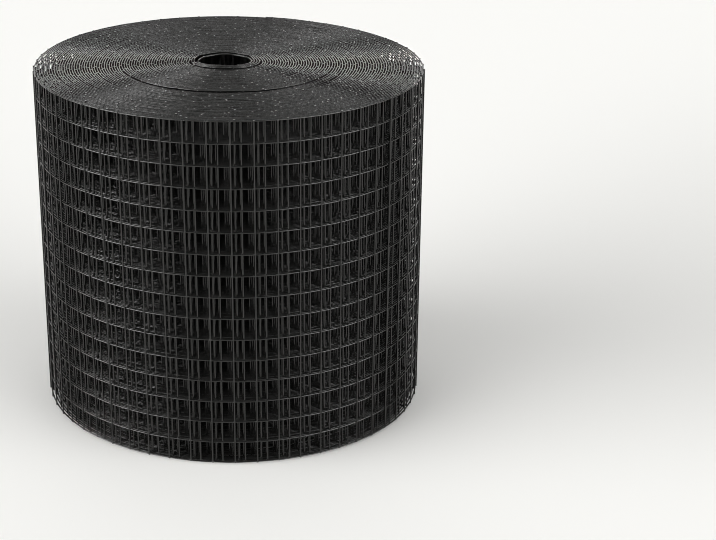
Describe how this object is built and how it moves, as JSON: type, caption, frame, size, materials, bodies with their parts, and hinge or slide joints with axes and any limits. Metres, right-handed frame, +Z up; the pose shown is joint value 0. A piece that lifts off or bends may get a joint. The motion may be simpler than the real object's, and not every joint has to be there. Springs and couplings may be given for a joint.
{
  "type": "roll of welded wire mesh",
  "caption": "Upright roll of black plastic-coated welded wire mesh, wound on itself round an open eye, for closing the gap round roof panels against birds.",
  "frame": {"origin": "on the roll's axis, at the lower end that it stands on", "axes": "+Z up along the roll's axis, -Y the side that faces the viewer, +X to the viewer's right"},
  "size_m": [0.2301, 0.2291, 0.2058],
  "materials": {
    "pvc_coated_wire": "black PVC dip coat on welded steel wire, smooth and slightly glossy"
  },
  "bodies": {
    "root": {"mesh_roll": "pvc_coated_wire"}
  },
  "joints": []
}
